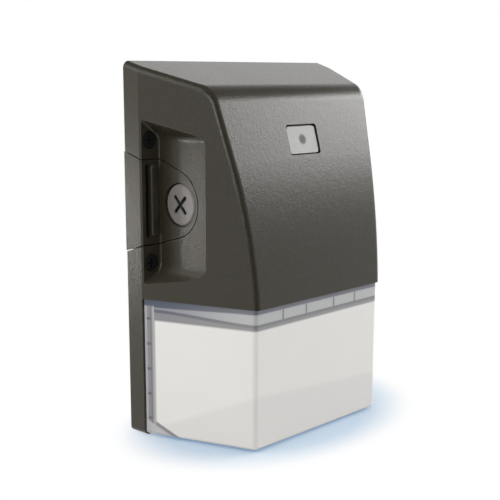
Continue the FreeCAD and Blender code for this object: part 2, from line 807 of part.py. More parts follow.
def make_back_box(outer):
    """The box on the wall. Its two ears are the part of the outer form inside the parting line."""
    ears = joined("MultiCommon", "ears", [outer, ear_prism("ear_prism", "0")])
    rim = ("-plate_half_width", "plate_half_width", "plate_low", "plate_high")
    plate = rounded_block("box_plate", "XZ_Plane", "0", rim, "plate_thick", "box_corner_r")
    walls = rounded_block("box_walls", "XZ_Plane", "0", BOX_RIM, "box_depth", "box_corner_r")
    rise = "housing_boss_rear - boss_gap - plate_thick/2"
    bosses = rods("box_bosses", "XZ_Plane", "plate_thick/2", SCREW_SPOTS, "box_boss_r", rise)
    solid = joined("MultiFuse", "box_solid", [ears, plate, walls, bosses, make_ear_beads()])
    inner_r = "box_corner_r - box_wall"
    room = rounded_block("box_room", "XZ_Plane", "plate_thick", BOX_ROOM, "box_depth", inner_r)
    rods_inside = hub_rods("hub_rods", "plug_end", "plug_thread_r + hub_wall", "box_half_width - plug_end")
    hubs = joined("MultiCommon", "inner_hubs", [walls, rods_inside])
    hollow = joined("Cut", "box_hollow", [solid, room])
    whole = joined("MultiFuse", "box_with_hubs", [hollow, hubs])
    return joined("Cut", "back_box", [whole, make_box_cuts()])


def pill(label, start, x, width, length):
    """An upright bar with round ends beside each plug, as long as the ear's slot."""
    body = new_body(label)
    wide, tall = width + "/2", "ear_slot_height/2"
    spread = (x + " - " + wide, x + " + " + wide, "ear_slot_rise - " + tall, "ear_slot_rise + " + tall)
    pad(body, rectangle(new_sketch(body, "XZ_Plane", start), *spread), length)
    round_edges(body, width + "*0.45", lambda edge: along(edge, "y"))
    return body


def make_ear_beads():
    """The rounded upright bead on each ear, between its slot and its plug."""
    start, length = "pocket_rear - overrun", "ear_bead_rise + overrun"
    body = pill("ear_beads", start, "ear_bead_x", "ear_bead_width", length)
    face = -number("pocket_rear + ear_bead_rise")
    round_edges(body, "ear_bead_rise*0.9", lambda edge: edge.BoundBox.YMax < face + NEAR)
    mirror_whole(body)
    return body


def make_ear_slots():
    """The upright slot in the forward face of each ear."""
    start = "pocket_rear - ear_slot_depth"
    body = pill("ear_slots", start, "ear_slot_x", "ear_slot_width", "ear_slot_depth + overrun")
    mirror_whole(body)
    return body


def make_junction_slots():
    """The pair of level slots that take a junction box's screws."""
    body = new_body("junction_slots")
    across = ("(slot_spacing - slot_length)/2", "(slot_spacing + slot_length)/2")
    spread = across + ("slot_rise - slot_r", "slot_rise + slot_r")
    pad(body, rectangle(new_sketch(body, "XZ_Plane", "-overrun"), *spread), "plate_thick + 2*overrun")
    round_edges(body, "slot_r - %s" % NEAR, lambda edge: along(edge, "y"))
    mirror_whole(body)
    return body


def make_box_cuts():
    """Hub bores, ear slots, wall holes, screw threads and gasket groove of the back box."""
    bore = "plug_thread_length + plug_head_thick"
    thread = hub_rods("hub_threads", "plug_end - overrun", "plug_thread_r + thread_gap", bore)
    recess = hub_rods("hub_recesses", "plug_seat", "plug_head_r + head_gap", "side - plug_seat")
    through = "plate_thick + 2*overrun"
    entry = rods("wire_entry", "XZ_Plane", "-overrun", [("0", "conduit_rise")], "wire_entry_r", through)
    rows = ("conduit_rise - wall_hole_spacing_z/2", "conduit_rise + wall_hole_spacing_z/2")
    spots = both_sides("wall_hole_spacing_x/2", rows)
    holes = rods("wall_holes", "XZ_Plane", "-overrun", spots, "wall_hole_r", through)
    start = "screw_seat - screw_length - boss_gap"
    screws = rods("box_screw_holes", "XZ_Plane", start, SCREW_SPOTS, "screw_r + thread_gap", "screw_length")
    ground = [("ground_x", "ground_rise")]
    start = "plate_thick - ground_screw_length - boss_gap"
    earth = rods("ground_hole", "XZ_Plane", start, ground, "m3_r + thread_gap", "plate_thick")
    groove = wall_gasket_ring("gasket_groove", "overrun")
    slots = [make_ear_slots(), make_junction_slots()]
    return joined("MultiFuse", "box_cuts", [thread, recess, entry, holes, screws, earth, groove] + slots)


def plate_inset(inset):
    """The plate's outline, set in all round."""
    sides = ("%s - plate_half_width", "plate_half_width - %s", "plate_low + %s", "plate_high - %s")
    return [side % inset for side in sides]


def wall_gasket_ring(label, behind):
    """The flat ring in the rear of the plate. behind lets the groove's cutter stand out at the wall."""
    outside = plate_inset("wall_gasket_edge")
    inside = plate_inset("(wall_gasket_edge + wall_gasket_width)")
    thick = "wall_gasket_thick + " + behind
    ring = rounded_block(label, "XZ_Plane", "-" + behind, outside, thick, "box_corner_r")
    pocket(ring, rectangle(new_sketch(ring, "XZ_Plane", "-" + behind), *inside), reverse=True)
    return ring


def make_box_gasket():
    """The seal between the back box's rim and the housing's web."""
    ring = rounded_block("box_gasket", "XZ_Plane", "box_depth", BOX_RIM, "gasket_thick", "box_corner_r")
    pocket(ring, rectangle(new_sketch(ring, "XZ_Plane", "box_depth"), *BOX_ROOM), reverse=True)
    return ring


def turn_to_side(body, side):
    """Puts a piece that is drawn along its own +X on the conduit axis, facing left or right."""
    angle = 180 if side == "left" else 0
    turn = FreeCAD.Rotation(FreeCAD.Vector(0, 0, 1), angle)
    body.Placement = FreeCAD.Placement(FreeCAD.Vector(0, 0, 0), turn)
    bind(body, "Placement.Base.y", "-conduit_depth")
    bind(body, "Placement.Base.z", "conduit_rise")
    return body


def make_conduit_plug(side):
    """The closing plug: a low chamfered head with a crossed recess, and its threaded shank."""
    plug = new_body(side + "_conduit_plug")
    head = "(plug_seat + plug_seal_thick)"
    profile = [
        ("plug_end", "0"),
        ("plug_face", "0"),
        ("plug_face", "plug_head_r - plug_edge"),
        ("plug_face - plug_edge", "plug_head_r"),
        (head, "plug_head_r"),
        (head, "plug_thread_r"),
        ("plug_end + plug_edge", "plug_thread_r"),
        ("plug_end", "plug_thread_r - plug_edge"),
    ]
    revolve(plug, outline(new_sketch(plug, "XY_Plane"), profile), "H_Axis")
    near = "(plug_cross_length - plug_cross_width)/(2*sqrt(2))"
    far = "(plug_cross_length + plug_cross_width)/(2*sqrt(2))"
    arm = [(far, near), (near, far), ("-" + far, "-" + near), ("-" + near, "-" + far)]
    cut = pocket(plug, outline(new_sketch(plug, "YZ_Plane", "plug_face"), arm), "plug_cross_depth")
    mirror(plug, [cut], "XY_Plane")
    return turn_to_side(plug, side)


def make_plug_seal(side):
    seal = new_body(side + "_plug_seal")
    sketch = new_sketch(seal, "YZ_Plane", "plug_seat")
    circle(sketch, "0", "0", "plug_head_r - plug_edge")
    circle(sketch, "0", "0", "plug_thread_r")
    pad(seal, sketch, "plug_seal_thick")
    return turn_to_side(seal, side)


# ---- screws -------------------------------------------------------------------------------


def screw(label, role, seat, spot, sizes, downward=False):
    """A pan-head screw. Its head stands on the seat, and the shank goes the other way."""
    radius, length, head_r, head_thick = sizes
    body = new_body(label)
    x, y = spot
    pad(body, circle(new_sketch(body, role, seat), x, y, radius), length, reverse=not downward)
    pad(body, circle(new_sketch(body, role, seat), x, y, head_r), head_thick, reverse=downward)
    top = "%s %s %s" % (seat, "-" if downward else "+", head_thick)
    reach, half = "cross_share*" + head_r, "cross_width/2"
    for wide, tall in ((reach, half), (half, reach)):
        spread = (x + " - " + wide, x + " + " + wide, y + " - " + tall, y + " + " + tall)
        pocket(body, rectangle(new_sketch(body, role, top), *spread), head_thick + "/2", reverse=downward)
    return body


M3 = ("m3_r", "m3_length", "m3_head_r", "m3_head_thick")


def make_housing_screws():
    sizes = ("screw_r", "screw_length", "screw_head_r", "screw_head_thick")
    body = screw("housing_screws", "XZ_Plane", "screw_seat", SCREW_SPOTS[1], sizes)
    repeat_whole(body, "Z_Axis", "2*screw_half_spacing")
    mirror_whole(body)
    return body


def make_lens_screws():
    """Through the rear of the frame into the lens's own bosses, so the shanks point forward."""
    body = screw("lens_screws", "XZ_Plane", "frame_depth - wall", LENS_SCREW_SPOTS[1], M3, downward=True)
    repeat_whole(body, "Z_Axis", "lens_screw_high - lens_screw_low")
    mirror_whole(body)
    return body


def make_board_screws():
    """Up through the board and its pad into the bosses on the deck."""
    body = screw("board_screws", "XY_Plane", "board_face", BOARD_SCREW_SPOTS[3], M3, downward=True)
    repeat_whole(body, "Y_Axis", "board_far - board_near - 2*board_screw_inset")
    mirror_whole(body)
    return body


def make_driver_screws():
    body = screw("driver_screws", "XZ_Plane", "tab_face", DRIVER_SCREW_SPOTS[1], M3, downward=True)
    mirror_whole(body)
    return body


def make_holder_screws():
    seat = "-(holder_face + holder_thick)"
    body = screw("sensor_holder_screws", "XZ_Plane", seat, HOLDER_SCREW_SPOTS[1], M3, downward=True)
    mirror_whole(body)
    return on_front(body)


def make_ground_screw():
    sizes = ("m3_r", "ground_screw_length", "m3_head_r", "m3_head_thick")
    return screw("ground_screw", "XZ_Plane", "plate_thick", ("ground_x", "ground_rise"), sizes)


# ---- the lens -----------------------------------------------------------------------------


def plan_section(sketch, rear, front, inset):
    """The light's tapered plan between two depths, set in by a wall."""
    wide, narrow = half_width(rear, inset), half_width(front, inset)
    corners = [
        ("-%s" % wide, "-%s" % rear),
        ("-%s" % narrow, "-%s" % front),
        (narrow, "-%s" % front),
        (wide, "-%s" % rear),
    ]
    return outline(sketch, corners)


def make_lens():
    """A scoop open at the wall and at the top, with flanges, clear bands, ribs and screw bosses."""
    lens = new_body("lens")
    plan = plan_section(new_sketch(lens, "XY_Plane", "lens_base"), "lens_rear", "lens_front", "lens_inset")
    pad(lens, plan, "lens_top - lens_base")
    front, rear, base = number("-lens_front"), number("-lens_rear"), number("lens_base")
    round_edges(lens, "lens_corner_r", lambda edge: along(edge, "z") and edge.BoundBox.YMax < front + NEAR)

    def is_floor_edge(edge):
        return edge.BoundBox.ZMax < base + NEAR and edge.BoundBox.YMin < rear - NEAR

    round_edges(lens, "lens_floor_r", is_floor_edge)
    sketch = new_sketch(lens, "XY_Plane", "lens_top")
    inner_front = "(lens_front - lens_wall)"
    room = plan_section(sketch, "(lens_rear - overrun)", inner_front, "(lens_inset + lens_wall)")
    pocket(lens, room, "lens_top - lens_base - lens_wall")
    outer = "(%s)" % half_width("(lens_seat + flange_thick)", "(lens_inset + lens_wall/2)")
    inner = "(%s - rear_flange_width)" % half_width("lens_rear", "lens_inset")
    low = "(lens_base + lens_wall/2)"
    corners = u_outline(outer, inner, low, "(lens_base + rear_flange_width)", "flange_top")
    pad(lens, outline(new_sketch(lens, "XZ_Plane", "lens_seat"), corners), "flange_thick")
    add_top_flange(lens)
    add_lens_ribs(lens)
    bosses = circles(new_sketch(lens, "XZ_Plane", "lens_seat"), LENS_SCREW_SPOTS, "lens_boss_r")
    pad(lens, bosses, "lens_boss_length")
    holes = circles(new_sketch(lens, "XZ_Plane", "lens_seat"), LENS_SCREW_SPOTS, "m3_r + thread_gap")
    pocket(lens, holes, "m3_length - wall - lens_gasket_thick + boss_gap", reverse=True)
    return lens


def u_outline(outer, inner, low_out, low_in, top):
    """The corners of an upright U: its two legs and its foot."""
    return [
        ("-" + outer, top),
        ("-" + outer, low_out),
        (outer, low_out),
        (outer, top),
        (inner, top),
        (inner, low_in),
        ("-" + inner, low_in),
        ("-" + inner, top),
    ]


def band_outline(sketch, outset, inset, rear, front_out, front_in):
    """A U in plan, open at the rear: both sides and the front, between two insets."""
    wide_out, wide_in = half_width(rear, outset), half_width(rear, inset)
    narrow_out, narrow_in = half_width(front_out, outset), half_width(front_in, inset)
    corners = [
        ("-%s" % wide_out, "-%s" % rear),
        ("-%s" % narrow_out, "-%s" % front_out),
        (narrow_out, "-%s" % front_out),
        (wide_out, "-%s" % rear),
        (wide_in, "-%s" % rear),
        (narrow_in, "-%s" % front_in),
        ("-%s" % narrow_in, "-%s" % front_in),
        ("-%s" % wide_in, "-%s" % rear),
    ]
    return outline(sketch, corners)


def add_top_flange(lens):
    sketch = band_outline(
        new_sketch(lens, "XY_Plane", "flange_top - flange_thick"),
        "(lens_inset + lens_wall/2)",
        "(lens_inset + lens_wall + top_flange_width)",
        "lens_seat",
        "(lens_front - lens_wall/2)",
        "(lens_front - lens_wall - top_flange_width)",
    )
    pad(lens, sketch, "flange_thick")


def add_lens_ribs(lens):
    """Thin ribs inside the clear bands: four behind the front, and a ladder up each side."""
    low = "(lip - clear_band)"
    deep, shallow = "-(lens_front - lens_wall/2)", "-(lens_front - lens_wall - rib_reach)"
    for x in ("rib_x_inner", "rib_x_outer"):
        sketch = new_sketch(lens, "XY_Plane", low)
        rectangle(sketch, "%s - rib_thick/2" % x, "%s + rib_thick/2" % x, deep, shallow)
        mirror(lens, [pad(lens, sketch, "clear_band - lens_gasket_thick - flange_thick/2")])
    seat = "(lens_seat + flange_thick/2)"
    far = "(lens_seat + flange_thick + rib_reach)"
    outer, outer_far = (half_width(depth, "(lens_inset + lens_wall/2)") for depth in (seat, far))
    inner = "%s - rib_reach - lens_wall" % outer_far
    corners = [(outer, "-" + seat), (inner, "-" + seat), (inner, "-" + far), (outer_far, "-" + far)]
    for step in range(int(number("side_rib_count"))):
        sketch = new_sketch(lens, "XY_Plane", "%s - %d*rib_pitch - rib_thick/2" % (low, step))
        mirror(lens, [pad(lens, outline(sketch, corners), "rib_thick")])


def make_lens_gasket():
    """A soft U on the frame below the deck, joined to a U under the hood's edge."""
    ring = new_body("lens_gasket")
    edge = "(lens_inset + lens_wall + lens_gasket_gap)"
    outer = "(%s)" % half_width("lens_seat", edge)
    inner = "(%s - lens_gasket_width)" % outer
    low_out = "(lens_base + lens_wall + lens_gasket_gap)"
    corners = u_outline(outer, inner, low_out, "(%s + lens_gasket_width)" % low_out, "lip")
    pad(ring, outline(new_sketch(ring, "XZ_Plane", "frame_depth"), corners), "lens_gasket_thick")
    front = "(lens_front - lens_wall - lens_gasket_gap)"
    sketch = band_outline(
        new_sketch(ring, "XY_Plane", "flange_top"),
        edge,
        "(%s + lens_gasket_width)" % edge,
        "frame_depth",
        front,
        "(%s - lens_gasket_width)" % front,
    )
    pad(ring, sketch, "lens_gasket_thick")
    return ring


# ---- light engine and driver --------------------------------------------------------------


def board_sheet(label, top, thick, hole_r):
    """A rectangular sheet under the deck, with its screw holes and the lead hole."""
    floor = "(%s - %s)" % (top, thick)
    spread = ("-board_half_width", "board_half_width", "-board_far", "-board_near")
    body = block(label, "XY_Plane", floor, spread, thick)
    holes = circles(new_sketch(body, "XY_Plane", floor), BOARD_SCREW_SPOTS, "m3_hole_r")
    pocket(body, circles(holes, LEAD_HOLE, hole_r), reverse=True)
    return body


def make_chips():
    """The light-emitting packages: one, repeated into a row and the row towards the front."""
    body = new_body("led_chips")
    wide, deep = "chip_length/2", "chip_width/2"
    across = ("-chip_reach - " + wide, "-chip_reach + " + wide)
    spread = across + ("-chip_last - " + deep, "-chip_last + " + deep)
    pad(body, rectangle(new_sketch(body, "XY_Plane", "board_face - chip_thick"), *spread), "chip_thick")
    repeat_whole(body, "X_Axis", "2*chip_reach", "chip_column_count")
    repeat_whole(body, "Y_Axis", "chip_last - chip_first", "chip_row_count")
    return body


def make_connector():
    spread = (
        "lead_hole_x - connector_length/2",
        "lead_hole_x + connector_length/2",
        "-lead_hole_depth - connector_width/2",
        "-lead_hole_depth + connector_width/2",
    )
    return block("led_connector", "XY_Plane", "board_face - connector_thick", spread, "connector_thick")


def make_grommet():
    """The rubber bush in the deck's lead hole, with its lip above the deck."""
    body = new_body("lead_grommet")
    stem = ("lip", "lead_hole_r", "wall")
    flange = ("deck_top", "grommet_lip_r", "grommet_lip_thick")
    for start, radius, length in (stem, flange):
        ring = circles(new_sketch(body, "XY_Plane", start), LEAD_HOLE, radius)
        pad(body, circles(ring, LEAD_HOLE, "grommet_bore_r"), length)
    return body


def make_reflector():
    """A white sheet that lies on the frame behind the lens and curves forward at its foot."""
    body = new_body("reflector")
    radius, thin = "reflector_bend_r", "(reflector_bend_r - reflector_thick)"
    rear, inner = "-frame_depth", "(-frame_depth - reflector_thick)"
    centre_y = "(-frame_depth - reflector_bend_r)"
    foot = "(reflector_bend_rise - reflector_bend_r)"
    tail = "(%s - reflector_tail)" % centre_y
    high = "(flange_top - flange_thick)"
    corners = [
        (rear, high),
        (inner, high),
        (inner, "reflector_bend_rise"),
        (centre_y, "%s + reflector_thick" % foot),
        (tail, "%s + reflector_thick" % foot),
        (tail, foot),
        (centre_y, foot),
        (rear, "reflector_bend_rise"),
    ]
    arcs = {2: (thin, False), 6: (radius, True)}
    sketch = outline(new_sketch(body, "YZ_Plane"), corners, arcs)
    pad(body, sketch, "2*reflector_half_width", symmetric=True)
    return body


def make_driver():
    """The potted power supply, with a screw tab at each end."""
    case = ("-driver_half_width", "driver_half_width", "driver_low", "driver_high")
    long = "driver_front - driver_rear"
    body = rounded_block("driver", "XZ_Plane", "driver_rear", case, long, "driver_round")
    tabs = (
        "-driver_half_width - tab_length",
        "driver_half_width + tab_length",
        "driver_middle - tab_half_height",
        "driver_middle + tab_half_height",
    )
    pad(body, rectangle(new_sketch(body, "XZ_Plane", "tab_face"), *tabs), "tab_thick")
    holes = circles(new_sketch(body, "XZ_Plane", "tab_face"), DRIVER_SCREW_SPOTS, "m3_hole_r")
    pocket(body, holes, reverse=True)
    return body


# ---- photocell, drawn in the plane of the sloped front ------------------------------------


def make_window():
    """The translucent pane, with a flange behind the housing's wall."""
    pane = window_spread("0")
    reach = "seal_back - window_set_back"
    body = rounded_block("photocell_window", "XZ_Plane", "-seal_back", pane, reach, "window_corner_r")
    flange = rectangle(new_sketch(body, "XZ_Plane", "-pane_back"), *window_spread("window_flange"))
    pad(body, flange, "window_flange_thick")
    return on_front(body)


def make_window_seal():
    outside = window_spread("window_flange")
    body = block("photocell_window_seal", "XZ_Plane", "-seal_back", outside, "window_seal_thick")
    inside = rectangle(new_sketch(body, "XZ_Plane", "-seal_back"), *window_spread("window_gap"))
    pocket(body, inside, reverse=True)
    return on_front(body)


def make_sensor():
    spot = [("0", "0")]
    return on_front(rods("photocell_sensor", "XZ_Plane", "-sensor_back", spot, "sensor_r", "sensor_thick"))


def make_sensor_board():
    wide, tall = "sensor_board_width/2", "sensor_board_height/2"
    spread = ("-" + wide, wide, "-" + tall, tall)
    return on_front(block("photocell_board", "XZ_Plane", "-holder_face", spread, "sensor_board_thick"))


def make_sensor_holder():
    """The bar across the back of the sensor board, screwed to two posts of the housing."""
    face = "-holder_face - holder_thick"
    bar = ("-holder_half_width", "holder_half_width", "-holder_height/2", "holder_height/2")
    body = block("photocell_holder", "XZ_Plane", face, bar, "holder_thick")
    pocket(body, circles(new_sketch(body, "XZ_Plane", face), HOLDER_SCREW_SPOTS, "m3_hole_r"), reverse=True)
    return on_front(body)


# ---- wires --------------------------------------------------------------------------------


def lead_pair(x, y):
    """The middles of two wires that run side by side."""
    return [("%s %s wire_spacing/2" % (x, side), y) for side in ("-", "+")]


def make_led_leads():
    """Two wires straight down from the driver, through the grommet, to the connector."""
    spots = lead_pair(*LEAD_HOLE[0])
    return rods("led_leads", "XY_Plane", "board_face", spots, "wire_r", "driver_low - board_face")


def make_photocell_leads(board):
    """Two wires straight up from the driver to the lower edge of the sensor board."""
    low_y, low_z, fold_y, fold_z = front_line("0")
    face_y = "(%s + (sensor_rise - %s)*tan(front_lean))" % (low_y, low_z)
    inward, down = "(sensor_back + sensor_board_thick/2)", "(sensor_board_height/2)"
    y = "(%s + %s*cos(front_lean) - %s*sin(front_lean))" % (face_y, inward, down)
    z = "(sensor_rise - %s*sin(front_lean) - %s*cos(front_lean))" % (inward, down)
    rise = "%s + wire_r*tan(front_lean) - driver_high" % z
    long_leads = rods("long_photocell_leads", "XY_Plane", "driver_high", lead_pair("0", y), "wire_r", rise)
    return joined("Cut", "photocell_leads", [long_leads, board])


def make_supply_lead(label, place):
    """One supply wire: out of the driver's rear, round a bend and up into the box's wiring room."""
    body = new_body(label)
    x = "(supply_x + %d*supply_spacing)" % place
    start, bend = "-driver_rear", "(supply_run - driver_rear)"
    riser = "(%s + wire_bend_r)" % bend
    corners = [
        (start, "supply_rise"),
        (bend, "supply_rise"),
        (riser, "supply_rise + wire_bend_r"),
        (riser, "supply_top"),
    ]
    path = outline(new_sketch(body, "YZ_Plane", x), corners, {1: ("wire_bend_r", True)}, closed=False)
    profile = circle(new_sketch(body, "XZ_Plane", "driver_rear"), x, "supply_rise", "wire_r")
    pipe = body.newObject("PartDesign::AdditivePipe", label + "_pipe")
    pipe.Profile = profile
    pipe.Spine = (path, ["Edge1", "Edge2", "Edge3"])
    return body


# ---- the assembly -------------------------------------------------------------------------


def build():
    outer = make_outer_form()
    board = make_sensor_board()
    nodes = [
        make_housing(outer),
        make_back_box(outer),
        wall_gasket_ring("wall_gasket", "0"),
        make_box_gasket(),
        make_housing_screws(),
        make_ground_screw(),
        make_lens(),
        make_lens_gasket(),
        make_lens_screws(),
        board_sheet("led_thermal_pad", "lip", "pad_thick", "lead_hole_r"),
        board_sheet("led_board", "(lip - pad_thick)", "board_thick", "grommet_bore_r"),
        make_chips(),
        make_board_screws(),
        make_connector(),
        make_grommet(),
        make_reflector(),
        make_driver(),
        make_driver_screws(),
        make_window(),
        make_window_seal(),
        make_sensor(),
        board,
        make_sensor_holder(),
        make_holder_screws(),
        make_led_leads(),
        make_photocell_leads(board),
    ]
    for side in ("left", "right"):
        nodes += [make_conduit_plug(side), make_plug_seal(side)]
    for place, label in enumerate(("line_lead", "neutral_lead", "ground_lead")):
        nodes.append(make_supply_lead(label, place))
    return nodes


def check(nodes):
    """Stops if any object failed or any piece isn't made of whole, valid solids."""
    doc.recompute()
    for thing in doc.Objects:
        if "Invalid" in thing.State or "Error" in thing.State:
            raise ValueError("%s failed: %s" % (thing.Name, thing.State))
    for node in nodes:
        shape = node.Shape
        if shape.isNull() or not shape.isValid() or not shape.Solids:
            raise ValueError("%s is not a valid solid" % node.Label)


nodes = build()
check(nodes)
os.makedirs("parts", exist_ok=True)
for node in nodes:
    node.Shape.exportStep("parts/%s.step" % node.Label)
    print("%-24s %2d solids %9.1f mm3" % (node.Label, len(node.Shape.Solids), node.Shape.Volume))
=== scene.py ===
"""A wall pack light: dark bronze hood and back box, frosted lens, conduit plugs, photocell window."""

import json
import math

import bpy
from mathutils import Matrix, Vector


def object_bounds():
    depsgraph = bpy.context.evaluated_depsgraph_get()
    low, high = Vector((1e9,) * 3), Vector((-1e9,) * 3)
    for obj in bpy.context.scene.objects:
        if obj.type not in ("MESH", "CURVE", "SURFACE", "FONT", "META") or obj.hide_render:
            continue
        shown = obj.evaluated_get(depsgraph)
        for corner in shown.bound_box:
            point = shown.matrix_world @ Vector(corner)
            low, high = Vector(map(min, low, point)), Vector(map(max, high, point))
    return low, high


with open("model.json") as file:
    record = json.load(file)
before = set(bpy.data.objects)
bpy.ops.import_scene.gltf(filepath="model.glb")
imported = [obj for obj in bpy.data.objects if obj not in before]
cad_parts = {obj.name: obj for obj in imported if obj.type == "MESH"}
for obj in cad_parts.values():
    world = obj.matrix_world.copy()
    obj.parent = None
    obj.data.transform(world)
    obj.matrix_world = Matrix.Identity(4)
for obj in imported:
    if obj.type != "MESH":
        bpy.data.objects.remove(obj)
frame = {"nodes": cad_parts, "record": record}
nodes = frame["nodes"]
CAD_BOX = [list(corner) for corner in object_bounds()]


def reach_mm(name, axis, way):
    """How far a CAD node reaches along an axis, in millimetres. Way is 1, or -1 to measure back."""
    return max(way * vertex.co[axis] for vertex in nodes[name].data.vertices) * 1000.0


# ---- camera, as fitted to the photograph's outline: radians and metres ----------------------

FRAME_PIXELS = 500.0
FOCAL_PIXELS = 938.57
SENSOR_MM = 36.0
CAMERA_AZIMUTH = math.radians(44.237)
CAMERA_ELEVATION = math.radians(10.685)
CAMERA_ROLL = math.radians(0.071)
CAMERA_DISTANCE = 0.50676
CAMERA_ASIDE = -0.01017
CAMERA_UP = 0.007898


def place_camera():
    """Places the camera. Its distance, aside and up say where the origin lies in its view."""
    az = CAMERA_AZIMUTH
    el = CAMERA_ELEVATION
    ahead = Vector((math.sin(az) * math.cos(el), math.cos(az) * math.cos(el), -math.sin(el)))
    level = Vector((math.cos(az), -math.sin(az), 0.0))
    upward = level.cross(ahead)
    right = math.cos(CAMERA_ROLL) * level + math.sin(CAMERA_ROLL) * upward
    up = math.cos(CAMERA_ROLL) * upward - math.sin(CAMERA_ROLL) * level
    spot = -ahead * CAMERA_DISTANCE - right * CAMERA_ASIDE - up * CAMERA_UP
    data = bpy.data.cameras.new("camera")
    data.sensor_width = SENSOR_MM
    data.lens = FOCAL_PIXELS / FRAME_PIXELS * SENSOR_MM
    data.clip_start = 0.01
    camera = bpy.data.objects.new("camera", data)
    bpy.context.scene.collection.objects.link(camera)
    turn = Matrix((right, up, -ahead)).transposed()
    camera.matrix_world = Matrix.Translation(spot) @ turn.to_4x4()
    bpy.context.scene.camera = camera


# ---- node helpers ---------------------------------------------------------------------------

PLACE_AND_PITCH = {"Place": "Vector", "Pitch": "Float"}


def new_group(name, inputs, outputs):
    """A shader node group. Its sockets are given by name, each with its kind, Float or Vector."""
    tree = bpy.data.node_groups.new(name, "ShaderNodeTree")
    for way, sockets in (("INPUT", inputs), ("OUTPUT", outputs)):
        for label, kind in sockets.items():
            tree.interface.new_socket(label, in_out=way, socket_type="NodeSocket" + kind)
    return tree, tree.nodes.new("NodeGroupInput"), tree.nodes.new("NodeGroupOutput")


def feed(tree, socket, value):
    """Links the input to another node's output, or sets its own plain value."""
    if isinstance(value, bpy.types.NodeSocket):
        tree.links.new(value, socket)
    else:
        socket.default_value = value


def node(tree, kind, links=None, **settings):
    """A new node. links maps an input's name or number to a socket or a plain value."""
    made = tree.nodes.new("ShaderNode" + kind)
    for name, value in settings.items():
        setattr(made, name, value)
    for key, value in (links or {}).items():
        feed(tree, made.inputs[key], value)
    return made


def maths(tree, operation, first, second=0.0, third=0.0):
    return node(tree, "Math", {0: first, 1: second, 2: third}, operation=operation).outputs[0]


def blend_colours(tree, factor, first, second):
    made = tree.nodes.new("ShaderNodeMix")
    made.data_type = "RGBA"
    sockets = [socket for socket in made.inputs if socket.enabled]
    for socket, value in zip(sockets, (factor, first, second)):
        feed(tree, socket, value)
    return next(socket for socket in made.outputs if socket.enabled)


def noise(tree, place, scale, detail):
    return node(tree, "TexNoise", {"Vector": place, "Scale": scale, "Detail": detail}).outputs[0]


def ramp(tree, value, low, high, rise="LINEAR"):
    """0 up to low, 1 from high on and a straight rise between them. Low may be the larger one."""
    links = {"Value": value, "From Min": low, "From Max": high}
    return node(tree, "MapRange", links, interpolation_type=rise).outputs[0]


def rising(tree, value, low, high):
    """0 below low, 1 above high and a soft step between them."""
    return ramp(tree, value, low, high, "SMOOTHSTEP")


def stripe(tree, value, middle, half, soft):
    """1 within half of the middle, falling softly to 0 outside it."""
    away = maths(tree, "ABSOLUTE", maths(tree, "SUBTRACT", value, middle))
    return maths(tree, "SUBTRACT", 1.0, rising(tree, away, half - soft, half + soft))


def varied(tree, value, middle, spread):
    """The middle, less or more by half the spread as the value goes from 0 to 1."""
    return maths(tree, "MULTIPLY_ADD", value, spread, middle - spread / 2)


def object_place(tree):
    return tree.nodes.new("ShaderNodeTexCoord").outputs["Object"]


def millimetres(tree):
    """The object's own coordinates in millimetres, one by one."""
    factors = {0: object_place(tree), 1: (1000.0,) * 3}
    scaled = node(tree, "VectorMath", factors, operation="MULTIPLY")
    return node(tree, "SeparateXYZ", {0: scaled.outputs[0]}).outputs


def new_material(name, colour, roughness, **plain):
    """A material with a Principled BSDF whose plain values are set on its own sockets."""
    material = bpy.data.materials.new(name)
    material.use_nodes = True
    tree = material.node_tree
    shader = tree.nodes["Principled BSDF"]
    shader.inputs["Base Color"].default_value = colour + (1.0,)
    shader.inputs["Roughness"].default_value = roughness
    for label, value in plain.items():
        shader.inputs[label.replace("_", " ")].default_value = value
    return material, tree, shader


# ---- effects that several finishes share ----------------------------------------------------

# a pitch is a texture's scale, in cells to the metre
COAT_PITCH = 1250.0
MOULD_PITCH = 1500.0
LENS_PITCH = 1800.0
RING_PITCH = 6000.0
WAVE_RATIO = 0.23
WAVE_SHARE = 0.5
SPECK_RATIO = 1.9
SPECK_EDGE = (0.56, 0.74)
FACING_UP = (0.35, 0.95)
DUST_PITCH = 45.0
CLOUD_PITCH = 60.0
STREAK_PITCH = 700.0


def build_coat_grain():
    """The orange peel of a baked powder coat: a height, and a mask of its small bright specks."""
    outputs = {"Height": "Float", "Speck": "Float"}
    tree, given, made = new_group("coat_grain", PLACE_AND_PITCH, outputs)
    place = given.outputs["Place"]
    pitch = given.outputs["Pitch"]
    peel = noise(tree, place, pitch, 3.0)
    waves = noise(tree, place, maths(tree, "MULTIPLY", pitch, WAVE_RATIO), 1.0)
    specks = noise(tree, place, maths(tree, "MULTIPLY", pitch, SPECK_RATIO), 1.0)
    height = maths(tree, "MULTIPLY_ADD", waves, WAVE_SHARE, peel)
    tree.links.new(height, made.inputs["Height"])
    tree.links.new(ramp(tree, specks, *SPECK_EDGE), made.inputs["Speck"])
    return tree


def build_settled_dust():
    """A mask of the dust that lies on faces that look up, thicker in soft patches."""
    inputs = {"Place": "Vector", "Amount": "Float"}
    tree, given, made = new_group("settled_dust", inputs, {"Mask": "Float"})
    shape = tree.nodes.new("ShaderNodeNewGeometry")
    upward = node(tree, "SeparateXYZ", {0: shape.outputs["Normal"]}).outputs["Z"]
    patches = noise(tree, given.outputs["Place"], DUST_PITCH, 4.0)
    patched = maths(tree, "MULTIPLY", ramp(tree, upward, *FACING_UP), patches)
    tree.links.new(maths(tree, "MULTIPLY", patched, given.outputs["Amount"]), made.inputs["Mask"])
    return tree


